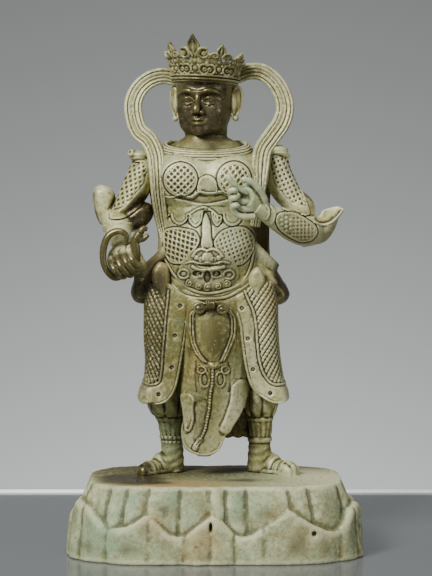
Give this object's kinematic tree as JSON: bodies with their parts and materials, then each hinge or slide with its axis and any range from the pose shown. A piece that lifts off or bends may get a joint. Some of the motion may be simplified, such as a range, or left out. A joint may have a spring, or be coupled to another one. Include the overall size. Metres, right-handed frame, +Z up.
{
  "type": "lokapala figure",
  "caption": "Standing crowned guardian king in armour, cast in bronze with green patina, one hand holding a snake, on an oblong plinth carved with petals",
  "frame": {"origin": "the middle of the plinth's underside, where the part stands", "axes": "+Z is up, the figure faces -Y, and +X is to the viewer's right"},
  "size_m": [0.293, 0.1746, 0.5199],
  "materials": {
    "figure_bronze": "cast bronze with a dull sage and cream crust, dark olive recesses and rubbed brown high spots",
    "plinth_bronze": "cast bronze with a matt pale grey-green crust, its top worn to brown and ochre"
  },
  "bodies": {
    "root": {"figure": "figure_bronze", "plinth": "plinth_bronze"}
  },
  "joints": []
}
